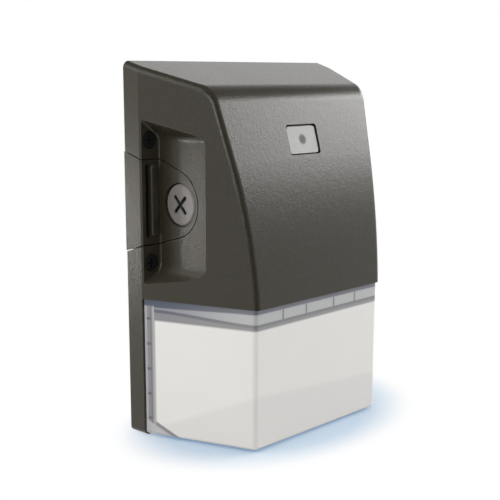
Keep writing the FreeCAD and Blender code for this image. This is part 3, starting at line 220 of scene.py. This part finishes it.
def build_mould_grain():
    """The even, very fine spark-eroded grain of a moulded part, with faint cloudy tone."""
    outputs = {"Height": "Float", "Tone": "Float"}
    tree, given, made = new_group("mould_grain", PLACE_AND_PITCH, outputs)
    grain = noise(tree, given.outputs["Place"], given.outputs["Pitch"], 2.0)
    cloud = noise(tree, given.outputs["Place"], CLOUD_PITCH, 3.0)
    tree.links.new(grain, made.inputs["Height"])
    tree.links.new(cloud, made.inputs["Tone"])
    return tree


def build_tool_marks():
    """Rings left by turning round an axis: a height, and the streaks that they make."""
    outputs = {"Height": "Float", "Streak": "Float"}
    tree, given, made = new_group("tool_marks", PLACE_AND_PITCH, outputs)
    place = given.outputs["Place"]
    wave = {"Vector": place, "Scale": given.outputs["Pitch"], "Distortion": 1.5, "Detail": 2.0}
    rings = node(tree, "TexWave", wave, wave_type="RINGS", rings_direction="SPHERICAL")
    tree.links.new(rings.outputs["Fac"], made.inputs["Height"])
    tree.links.new(noise(tree, place, STREAK_PITCH, 4.0), made.inputs["Streak"])
    return tree


COAT_GRAIN = build_coat_grain()
SETTLED_DUST = build_settled_dust()
MOULD_GRAIN = build_mould_grain()
TOOL_MARKS = build_tool_marks()


def effect(tree, group, **values):
    """Places an effect group, fed with the object's own coordinates."""
    made = tree.nodes.new("ShaderNodeGroup")
    made.node_tree = group
    tree.links.new(object_place(tree), made.inputs["Place"])
    for name, value in values.items():
        made.inputs[name].default_value = value
    return made


def raise_surface(tree, shader, height, strength, distance):
    bump = node(tree, "Bump", {"Height": height, "Strength": strength, "Distance": distance})
    tree.links.new(bump.outputs[0], shader.inputs["Normal"])


# ---- finishes -------------------------------------------------------------------------------

DUST = (0.32, 0.31, 0.29, 1.0)
DUST_AMOUNT = 0.10
COAT_ROUGHNESS = 0.26
STREAK_SHADE = 0.85


def powder_coat(name, colour, light):
    """Dark bronze powder coat with its fine texture, pale specks and a little dust on top."""
    material, tree, shader = new_material(name, colour, COAT_ROUGHNESS, Specular_IOR_Level=0.38)
    grain = effect(tree, COAT_GRAIN, Pitch=COAT_PITCH)
    dust = effect(tree, SETTLED_DUST, Amount=DUST_AMOUNT)
    base = blend_colours(tree, grain.outputs["Speck"], colour + (1.0,), light + (1.0,))
    dusty = blend_colours(tree, dust.outputs["Mask"], base, DUST)
    tree.links.new(dusty, shader.inputs["Base Color"])
    rough = varied(tree, grain.outputs["Speck"], COAT_ROUGHNESS, -0.06)
    tree.links.new(rough, shader.inputs["Roughness"])
    raise_surface(tree, shader, grain.outputs["Height"], strength=0.6, distance=0.00014)
    return material


def moulded(name, colour, roughness, tone=0.12):
    """A moulded plastic or rubber: fine grain and a faint cloudy change of tone."""
    material, tree, shader = new_material(name, colour, roughness)
    grain = effect(tree, MOULD_GRAIN, Pitch=MOULD_PITCH)
    darker = tuple(c * (1.0 - tone) for c in colour) + (1.0,)
    lighter = tuple(min(1.0, c * (1.0 + tone)) for c in colour) + (1.0,)
    clouded = blend_colours(tree, grain.outputs["Tone"], darker, lighter)
    tree.links.new(clouded, shader.inputs["Base Color"])
    rough = varied(tree, grain.outputs["Height"], roughness, 0.12)
    tree.links.new(rough, shader.inputs["Roughness"])
    raise_surface(tree, shader, grain.outputs["Height"], strength=0.3, distance=0.00003)
    return material


def machined(name, colour, roughness, metallic=1.0):
    """A turned or plated metal: fine rings, and streaks in its shine."""
    material, tree, shader = new_material(name, colour, roughness, Metallic=metallic)
    marks = effect(tree, TOOL_MARKS, Pitch=RING_PITCH)
    streak = marks.outputs["Streak"]
    darker = tuple(c * STREAK_SHADE for c in colour) + (1.0,)
    streaked = blend_colours(tree, streak, darker, colour + (1.0,))
    tree.links.new(streaked, shader.inputs["Base Color"])
    rough = varied(tree, streak, roughness, 0.2)
    tree.links.new(rough, shader.inputs["Roughness"])
    raise_surface(tree, shader, marks.outputs["Height"], strength=0.15, distance=0.00003)
    return material


PLUG_FACE = reach_mm("left_conduit_plug", 0, -1)
PLUG_FACE_EDGE = (PLUG_FACE - 0.9, PLUG_FACE - 0.5)
# painted shade: all that lies sunk below the plug's face is painted near black
PLUG_RECESS_PAINTED_SHADE = (0.010, 0.010, 0.011, 1.0)


def closing_plug(name, colour):
    """Grey cast metal whose cross recess is painted near black, a painted shade in the recess."""
    material = machined(name, colour, roughness=0.6, metallic=0.2)
    tree = material.node_tree
    shader = tree.nodes["Principled BSDF"]
    bare = shader.inputs["Base Color"].links[0].from_socket
    out = maths(tree, "ABSOLUTE", millimetres(tree)[0])
    face = rising(tree, out, *PLUG_FACE_EDGE)
    tree.links.new(blend_colours(tree, face, PLUG_RECESS_PAINTED_SHADE, bare), shader.inputs["Base Color"])
    return material


# ---- the lens, in millimetres ---------------------------------------------------------------

# depth is forward of the wall and fall is down from the hood's lip
# an edge is where a step begins and ends; a line is its middle, half width and softness
LIP_GAP = 0.2
LIP = reach_mm("lens", 2, 1) + LIP_GAP
FRONT_DEPTH = reach_mm("lens", 1, -1)
FRONT_EDGE = (FRONT_DEPTH - 2.5, FRONT_DEPTH - 1.0)
SIDE_TO_FRONT = {
    # painted shadow: the dark blue-grey top of the band, just under the hood's lip, is painted in
    "painted_hood_shadow": ((0.066, 0.084, 0.126, 1.0), (0.17, 0.175, 0.20, 1.0)),
    "pale": ((0.25, 0.26, 0.29, 1.0), (0.47, 0.475, 0.475, 1.0)),
    "groove": ((0.11, 0.11, 0.145, 1.0), (0.22, 0.22, 0.225, 1.0)),
    "strip": ((0.24, 0.24, 0.255, 1.0), (0.28, 0.28, 0.285, 1.0)),
}
BAND_TOP = 3.6
BAND_TOP_DROP = -1.2
BAND_FOOT = 4.8
BAND_FOOT_DROP = 2.5
BAND_EDGE = (-0.3, 0.5)
GROOVE_EDGE = (-0.3, 0.3)
STRIP_EDGE = (1.1, 1.9)
DIVIDERS = ((10.2, 0.55, 0.3), (26.5, 0.55, 0.3))

SIDE_END_TOP = (2.6, 3.8)
END_PLAIN = (0.25, 0.25, 0.265, 1.0)
END_LIGHT = (0.46, 0.45, 0.47, 1.0)
END_INNER = (0.42, 0.415, 0.41, 1.0)
END_GROOVE = (0.19, 0.19, 0.195, 1.0)
LIGHT_LINE = (10.8, 0.6, 0.3)
GROOVE_LINE = (13.3, 0.35, 0.2)
INNER_EDGE = (13.7, 14.5)
RUNG = (0.13, 0.13, 0.135, 1.0)
RUNG_PITCH = 12.75
RUNG_FIRST = -31.6
RUNG_ROW = (0.0, 0.65, 0.35)
RUNG_REACH = (12.3, 1.0, 0.3)

CORNER_SLOPE = 0.54
CORNER_OUTER = (-78.5, -77.5)
CORNER_INNER = (-76.4, -75.4)
CORNER_CLEAR = (0.50, 0.495, 0.50, 1.0)

FROST_FALL = 10.2
FROST_TOP = (FROST_FALL - 0.5, FROST_FALL + 0.9)
FROST_DEPTH = 15.3
FROST_REAR = (FROST_DEPTH - 0.5, FROST_DEPTH + 0.5)
SIDE_END_FRONT = (FROST_DEPTH - 0.4, FROST_DEPTH)
FROST_PLAIN = (0.80, 0.785, 0.755)
FROST_DARKER = (0.785, 0.770, 0.742, 1.0)
FROST_LIGHTER = (0.815, 0.800, 0.768, 1.0)
# painted shade: the frost low down, below the far edge of the lens floor, is painted darker
FROST_PAINTED_SHADE = (0.735, 0.725, 0.70, 1.0)
FROSTED_ROUGHNESS = 0.52
CLEAR_ROUGHNESS = 0.10
# the line below which the frost is painted darker
FLOOR_EDGE = -95.3
FLOOR_EDGE_FORWARD = 0.49
FLOOR_EDGE_ACROSS = -0.077
FLOOR_EDGE_BLUR = (-1.5, 2.5)
FLOOR_HALF = 65.0


def clear_band(tree, across, depth, fall):
    """The clear ribbed band that runs round under the hood, wider along the front. Its top is painted
    darker, a painted shadow of the hood.
    """
    forward = rising(tree, depth, FROST_DEPTH, FRONT_DEPTH)
    front = rising(tree, depth, *FRONT_EDGE)
    tint = {name: blend_colours(tree, forward, *pair) for name, pair in SIDE_TO_FRONT.items()}
    band_top = maths(tree, "MULTIPLY_ADD", forward, BAND_TOP_DROP, BAND_TOP)
    band_foot = maths(tree, "MULTIPLY_ADD", forward, BAND_FOOT_DROP, BAND_FOOT)
    in_band = rising(tree, maths(tree, "SUBTRACT", fall, band_top), *BAND_EDGE)
    below_band = maths(tree, "SUBTRACT", fall, band_foot)
    # the band's top takes the painted shadow of the hood
    colour = blend_colours(tree, in_band, tint["painted_hood_shadow"], tint["pale"])

    aside = maths(tree, "ABSOLUTE", across)
    dividers = [stripe(tree, aside, *line) for line in DIVIDERS]
    front_band = maths(tree, "MULTIPLY", front, in_band)
    divided = maths(tree, "MULTIPLY", maths(tree, "MAXIMUM", *dividers), front_band)
    colour = blend_colours(tree, divided, colour, tint["groove"])
    colour = blend_colours(tree, rising(tree, below_band, *GROOVE_EDGE), colour, tint["groove"])
    return blend_colours(tree, rising(tree, below_band, *STRIP_EDGE), colour, tint["strip"])


def clear_end(tree, depth, up):
    """The clear upright strip at the wall end of each side, with its lines and rungs."""
    colour = blend_colours(tree, stripe(tree, depth, *LIGHT_LINE), END_PLAIN, END_LIGHT)
    colour = blend_colours(tree, rising(tree, depth, *INNER_EDGE), colour, END_INNER)
    colour = blend_colours(tree, stripe(tree, depth, *GROOVE_LINE), colour, END_GROOVE)
    step = maths(tree, "PINGPONG", maths(tree, "SUBTRACT", RUNG_FIRST, up), RUNG_PITCH / 2)
    rung_rows = stripe(tree, step, *RUNG_ROW)
    rungs = maths(tree, "MULTIPLY", rung_rows, stripe(tree, depth, *RUNG_REACH))
    return blend_colours(tree, rungs, colour, RUNG)


def frosted_field(tree, across, depth, up, tone):
    """The milky field. Low in it the frost is painted a little darker, a painted shade where the lens
    floor's far edge shows faintly through.
    """
    field = blend_colours(tree, tone, FROST_DARKER, FROST_LIGHTER)
    floor_edge = maths(tree, "MULTIPLY_ADD", depth, FLOOR_EDGE_FORWARD, FLOOR_EDGE)
    from_left = maths(tree, "ADD", across, FLOOR_HALF)
    floor_edge = maths(tree, "MULTIPLY_ADD", from_left, FLOOR_EDGE_ACROSS, floor_edge)
    # below the line the frost gets its painted shade
    clear_of_painted_shade = rising(tree, maths(tree, "SUBTRACT", up, floor_edge), *FLOOR_EDGE_BLUR)
    return blend_colours(tree, clear_of_painted_shade, FROST_PAINTED_SHADE, field)


def lens_plastic():
    """Polycarbonate, frosted over its walls and floor, with a clear ribbed band along its edges."""
    material, tree, shader = new_material("lens_plastic", FROST_PLAIN, FROSTED_ROUGHNESS, IOR=1.58)
    across, along, up = millimetres(tree)
    depth = maths(tree, "MULTIPLY", along, -1.0)
    fall = maths(tree, "SUBTRACT", LIP, up)
    colour = clear_band(tree, across, depth, fall)

    at_end = maths(tree, "SUBTRACT", 1.0, rising(tree, depth, *SIDE_END_FRONT))
    at_end = maths(tree, "MULTIPLY", at_end, rising(tree, fall, *SIDE_END_TOP))
    colour = blend_colours(tree, at_end, colour, clear_end(tree, depth, up))

    corner = maths(tree, "MULTIPLY_ADD", depth, CORNER_SLOPE, up)
    within_corner = rising(tree, corner, *CORNER_INNER)
    corner_clear = blend_colours(tree, within_corner, CORNER_CLEAR, colour)
    colour = blend_colours(tree, rising(tree, corner, *CORNER_OUTER), corner_clear, colour)

    below = rising(tree, fall, *FROST_TOP)
    ahead = rising(tree, depth, *FROST_REAR)
    frosted = maths(tree, "MULTIPLY", maths(tree, "MULTIPLY", below, ahead), within_corner)
    cloud = effect(tree, MOULD_GRAIN, Pitch=LENS_PITCH)
    field = frosted_field(tree, across, depth, up, cloud.outputs["Tone"])
    tree.links.new(blend_colours(tree, frosted, colour, field), shader.inputs["Base Color"])
    gain = FROSTED_ROUGHNESS - CLEAR_ROUGHNESS
    rough = maths(tree, "MULTIPLY_ADD", frosted, gain, CLEAR_ROUGHNESS)
    tree.links.new(rough, shader.inputs["Roughness"])
    grain = maths(tree, "MULTIPLY", cloud.outputs["Height"], frosted)
    raise_surface(tree, shader, grain, strength=0.25, distance=0.00003)
    return material


# ---- the sensor's window and the light sources ----------------------------------------------

# the spot is along and up, in millimetres, and the eye's edge is out from it
SENSOR_SPOT = (-50.9, 54.2)
SENSOR_EYE = (0.012, 0.012, 0.011, 1.0)
EYE_EDGE = (1.5, 3.3)
FRONT_LEAN = math.radians(16.0)
PANE_DARKER = (0.34, 0.34, 0.33, 1.0)
PANE_LIGHTER = (0.38, 0.38, 0.37, 1.0)


def window_pane():
    """Smoked translucent plastic, with the sensor's eye as a soft darker disc behind it."""
    material, tree, shader = new_material(
        "window_plastic", (0.36, 0.36, 0.35), 0.4, Specular_IOR_Level=0.3
    )
    across, along, up = millimetres(tree)
    forward = maths(tree, "SUBTRACT", along, SENSOR_SPOT[0])
    above = maths(tree, "SUBTRACT", up, SENSOR_SPOT[1])
    back = maths(tree, "MULTIPLY", forward, math.sin(FRONT_LEAN))
    rise = maths(tree, "MULTIPLY_ADD", above, math.cos(FRONT_LEAN), back)
    reach = node(tree, "CombineXYZ", {0: across, 1: rise, 2: 0.0})
    away = node(tree, "VectorMath", {0: reach.outputs[0]}, operation="LENGTH").outputs["Value"]
    eye = maths(tree, "SUBTRACT", 1.0, rising(tree, away, *EYE_EDGE))
    grain = effect(tree, MOULD_GRAIN, Pitch=MOULD_PITCH)
    clouded = blend_colours(tree, grain.outputs["Tone"], PANE_DARKER, PANE_LIGHTER)
    tree.links.new(blend_colours(tree, eye, clouded, SENSOR_EYE), shader.inputs["Base Color"])
    raise_surface(tree, shader, grain.outputs["Height"], strength=0.15, distance=0.00002)
    return material


CERAMIC = (0.85, 0.85, 0.82, 1.0)
PHOSPHOR = (0.86, 0.62, 0.12, 1.0)
FACING_DOWN = (-0.8, -0.95)


def led_package():
    """White ceramic packages, each with a yellow phosphor face below."""
    material, tree, shader = new_material("led_package", CERAMIC[:3], 0.35)
    shape = tree.nodes.new("ShaderNodeNewGeometry")
    down = node(tree, "SeparateXYZ", {0: shape.outputs["Normal"]}).outputs["Z"]
    face = ramp(tree, down, *FACING_DOWN)
    tree.links.new(blend_colours(tree, face, CERAMIC, PHOSPHOR), shader.inputs["Base Color"])
    return material


# ---- each slot's finish ---------------------------------------------------------------------

BRONZE = (0.0275, 0.0233, 0.0138)
BRONZE_SPECK = (0.062, 0.056, 0.040)

FINISHES = {
    "powder_coat": powder_coat("powder_coat", BRONZE, BRONZE_SPECK),
    "gasket_rubber": moulded("gasket_rubber", (0.018, 0.018, 0.019), 0.75),
    "green_screw": machined("green_screw", (0.03, 0.22, 0.06), 0.4, 0.6),
    "plug_metal": closing_plug("plug_metal", (0.20, 0.188, 0.18)),
    "dark_screw": machined("dark_screw", (0.012, 0.012, 0.013), 0.45, 0.2),
    "lens_plastic": lens_plastic(),
    "plain_screw": machined("plain_screw", (0.55, 0.54, 0.52), 0.35),
    "white_sheet": moulded("white_sheet", (0.88, 0.88, 0.87), 0.45, tone=0.02),
    "thermal_pad": moulded("thermal_pad", (0.34, 0.42, 0.52), 0.8, tone=0.06),
    "white_board": moulded("white_board", (0.84, 0.85, 0.84), 0.4, tone=0.03),
    "led_package": led_package(),
    "white_plastic": moulded("white_plastic", (0.80, 0.79, 0.74), 0.4, tone=0.04),
    "driver_case": moulded("driver_case", (0.03, 0.03, 0.032), 0.55, tone=0.1),
    "window_plastic": window_pane(),
    "sensor_lens": moulded("sensor_lens", (0.45, 0.30, 0.22), 0.15, tone=0.1),
    "green_board": moulded("green_board", (0.02, 0.16, 0.06), 0.35, tone=0.15),
    "black_plastic": moulded("black_plastic", (0.02, 0.02, 0.021), 0.5),
    "red_wire": moulded("red_wire", (0.50, 0.02, 0.015), 0.4, tone=0.06),
    "white_wire": moulded("white_wire", (0.75, 0.75, 0.72), 0.4, tone=0.04),
    "black_wire": moulded("black_wire", (0.016, 0.016, 0.017), 0.4, tone=0.06),
    "green_wire": moulded("green_wire", (0.02, 0.20, 0.05), 0.4, tone=0.06),
}


def dress_nodes():
    """Gives each CAD node the finish of the slot that the record names for it."""
    for entry in frame["record"]["subparts"]:
        piece = nodes[entry["node"]]
        finish = FINISHES[entry["material_slot"]]
        piece.data.materials.clear()
        piece.data.materials.append(finish)


# ---- floor, light and backdrop --------------------------------------------------------------

WHITE = (1.0, 1.0, 1.0, 1.0)
FLOOR_GAP = 0.0005
FLOOR_HEIGHT = CAD_BOX[0][2] - FLOOR_GAP
FLOOR_REACH = 6.0
# painted shadow: round the foot the floor is darker and bluer, and its diffuse part still takes the
# real shadow
GROUND = (0.46, 0.475, 0.43, 1.0)
GROUND_LIFT = (0.11, 0.21, 0.37, 1.0)
GROUND_PLAIN = (0.5, 0.5, 0.5, 1.0)
FOOT_MIDDLE = (0.0, -0.03, FLOOR_HEIGHT)
FOOT_REACH = (0.092, 0.065, 1.0)
SHADOW_NEAR = 0.64
SHADOW_FAR = 1.02
DARK_END = (-0.42, -0.90, 0.10)
DARK_END_EDGE = (0.72, 0.90)
CEILING_EDGE = (0.46, 0.66)
DARK_DEPTH = -0.9
SOFT_LIGHT = (0.97, 0.98, 1.0, 1.0)
SOFT_LEVEL = 0.53


def background_rays(tree, path):
    """1 for the rays that show the backdrop itself: camera, glossy and transmission rays."""
    seen = maths(tree, "MAXIMUM", path["Is Camera Ray"], path["Is Transmission Ray"])
    return maths(tree, "MAXIMUM", seen, path["Is Glossy Ray"])


def studio_white(tree, direction):
    """The studio as gloss shows it: white walls, a dark ceiling, a dark end behind the camera."""
    unit = node(tree, "VectorMath", {0: direction}, operation="NORMALIZE").outputs[0]
    along = node(tree, "VectorMath", {0: unit, 1: DARK_END}, operation="DOT_PRODUCT")
    height = node(tree, "SeparateXYZ", {0: unit}).outputs["Z"]
    dark_end = rising(tree, along.outputs["Value"], *DARK_END_EDGE)
    ceiling = rising(tree, height, *CEILING_EDGE)
    dark = maths(tree, "MAXIMUM", dark_end, ceiling)
    return maths(tree, "MULTIPLY_ADD", dark, DARK_DEPTH, 1.0)


def beyond_painted_shadow(tree, place):
    """0 close round the foot of the light, where the shadow is painted, rising softly to 1."""
    level = node(tree, "VectorMath", {0: place, 1: FOOT_MIDDLE}, operation="SUBTRACT")
    outward = node(tree, "VectorMath", {0: level.outputs[0], 1: FOOT_REACH}, operation="DIVIDE")
    away = node(tree, "VectorMath", {0: outward.outputs[0]}, operation="LENGTH")
    return rising(tree, away.outputs["Value"], SHADOW_NEAR, SHADOW_FAR)


def mix_shaders(tree, factor, first, second):
    links = {0: factor, 1: first.outputs[0], 2: second.outputs[0]}
    return node(tree, "MixShader", links)


def floor_material():
    """White to the eye and in gloss, with a painted pale blue shadow at the foot that still takes the
    real shadow, grey for other light.
    """
    material = bpy.data.materials.new("floor")
    material.use_nodes = True
    tree = material.node_tree
    tree.nodes.clear()
    out = tree.nodes.new("ShaderNodeOutputMaterial")
    path = tree.nodes.new("ShaderNodeLightPath").outputs
    place = object_place(tree)
    ground = node(tree, "BsdfDiffuse", {"Color": GROUND})
    lift = node(tree, "Emission", {"Color": GROUND_LIFT, "Strength": 1.0})
    shadow_painted_at_foot = node(tree, "AddShader", {0: ground.outputs[0], 1: lift.outputs[0]})
    white = node(tree, "Emission", {"Color": WHITE, "Strength": 1.0})
    mirrored = node(tree, "Emission", {"Color": WHITE, "Strength": studio_white(tree, place)})
    plain = node(tree, "BsdfDiffuse", {"Color": GROUND_PLAIN})
    # the painted shadow round the foot fades into plain white
    seen = mix_shaders(tree, beyond_painted_shadow(tree, place), shadow_painted_at_foot, white)
    shown = mix_shaders(tree, path["Is Glossy Ray"], seen, mirrored)
    mixed = mix_shaders(tree, background_rays(tree, path), plain, shown)
    tree.links.new(mixed.outputs[0], out.inputs["Surface"])
    return material


def lay_floor():
    """A plain floor under the light, staged, so that it isn't part of the object."""
    bpy.ops.mesh.primitive_plane_add(size=2 * FLOOR_REACH)
    floor = bpy.context.object
    floor.name = "floor"
    for corner in floor.data.vertices:
        corner.co.z = FLOOR_HEIGHT
    floor.data.materials.append(floor_material())


def light_world():
    """White for camera, glossy and transmission rays, and a soft grey for the rest."""
    world = bpy.data.worlds.new("studio")
    bpy.context.scene.world = world
    world.use_nodes = True
    tree = world.node_tree
    tree.nodes.clear()
    out = tree.nodes.new("ShaderNodeOutputWorld")
    path = tree.nodes.new("ShaderNodeLightPath").outputs
    direction = tree.nodes.new("ShaderNodeTexCoord").outputs["Generated"]
    not_glossy = maths(tree, "SUBTRACT", 1.0, path["Is Glossy Ray"])
    level = maths(tree, "MAXIMUM", studio_white(tree, direction), not_glossy)
    white = node(tree, "Background", {"Color": WHITE, "Strength": level})
    soft = node(tree, "Background", {"Color": SOFT_LIGHT, "Strength": SOFT_LEVEL})
    mixed = mix_shaders(tree, background_rays(tree, path), soft, white)
    tree.links.new(mixed.outputs[0], out.inputs["Surface"])


PLAIN_LIGHT = (1.0, 1.0, 1.0)

# azimuth and elevation in degrees; distance, width and height in metres; watts; colour
SOFTBOXES = {
    "front_box": (65.5, 24.5, 1.2, 1.0, 0.37, 10.6, PLAIN_LIGHT),
    "right_box": (66.0, 12.5, 1.2, 0.3, 0.2, 0.85, PLAIN_LIGHT),
    "rear_box": (128.0, 30.0, 1.3, 1.0, 0.5, 0.45, PLAIN_LIGHT),
    "left_box": (-106.0, 42.0, 1.2, 0.8, 0.8, 5.0, (1.0, 0.97, 0.93)),
    "edge_box": (-63.0, 13.0, 1.2, 0.40, 0.26, 2.6, PLAIN_LIGHT),
    "back_left_box": (-137.0, -7.0, 0.37, 0.10, 0.10, 0.56, (1.0, 0.97, 0.94)),
}


def add_softbox(name, azimuth, elevation, distance, width, height, power, colour):
    """A rectangular lamp aimed at the origin. Azimuth 0 is ahead of the front, 90 to its right."""
    az = math.radians(azimuth)
    el = math.radians(elevation)
    spot = Vector((math.sin(az) * math.cos(el), -math.cos(az) * math.cos(el), math.sin(el)))
    spot = spot * distance
    data = bpy.data.lights.new(name, "AREA")
    data.shape = "RECTANGLE"
    data.size = width
    data.size_y = height
    data.energy = power
    data.color = colour
    lamp = bpy.data.objects.new(name, data)
    bpy.context.scene.collection.objects.link(lamp)
    lamp.location = spot
    lamp.rotation_euler = (-spot).to_track_quat("-Z", "Y").to_euler()


# ---- the scene ------------------------------------------------------------------------------

bpy.ops.object.select_all(action="DESELECT")
place_camera()
dress_nodes()
lay_floor()
light_world()
for lamp_name, placing in SOFTBOXES.items():
    add_softbox(lamp_name, *placing)
bpy.context.scene.view_settings.view_transform = "Standard"
